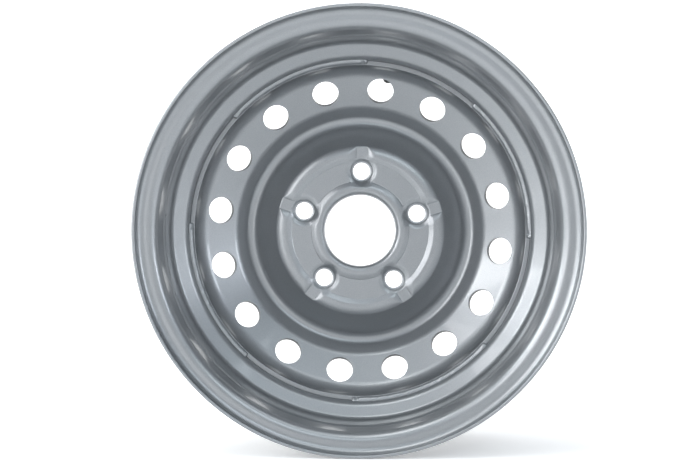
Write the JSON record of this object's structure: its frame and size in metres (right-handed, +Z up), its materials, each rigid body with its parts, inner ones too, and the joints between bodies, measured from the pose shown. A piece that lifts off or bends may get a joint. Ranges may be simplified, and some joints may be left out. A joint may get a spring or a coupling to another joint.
{
  "type": "steel trailer wheel",
  "caption": "Welded pressed-steel wheel for a trailer: rolled drop-centre rim, stamped disc with round vents and recessed bolt holes, silver paint and a snap-in tyre valve.",
  "frame": {"origin": "on the wheel's axis in the rim's middle plane, which is the centre of its bounding box", "axes": "+Y is the wheel's axis towards the outboard side, -Y is the inboard (hub) side, +Z is up with the wheel upright, +X is to the right seen from the inboard side"},
  "size_m": [0.3894, 0.1636, 0.3893],
  "materials": {
    "silver_paint": "glossy silver-grey metallic paint over pressed steel",
    "valve_rubber": "moulded black rubber",
    "valve_brass": "turned brass",
    "cap_plastic": "fluted black plastic"
  },
  "bodies": {
    "wheel": {"rim": "silver_paint", "disc": "silver_paint", "weld_bead_1": "silver_paint", "weld_bead_2": "silver_paint", "weld_bead_3": "silver_paint", "weld_bead_4": "silver_paint", "valve_body": "valve_rubber", "valve_stem": "valve_brass", "valve_core": "valve_brass"},
    "valve_cap": {"valve_cap": "cap_plastic"},
    "valve_pin": {"valve_pin": "valve_brass"}
  },
  "joints": [
    {"name": "valve_cap_unscrew", "type": "slide", "parent": "wheel", "child": "valve_cap", "axis": [-0.1129, 0.7801, -0.6154], "range_m": [0, 0.012]},
    {"name": "valve_pin_press", "type": "slide", "parent": "wheel", "child": "valve_pin", "axis": [0.1129, -0.7801, 0.6154], "range_m": [0, 0.0015], "stiffness_N_per_m": 400}
  ]
}
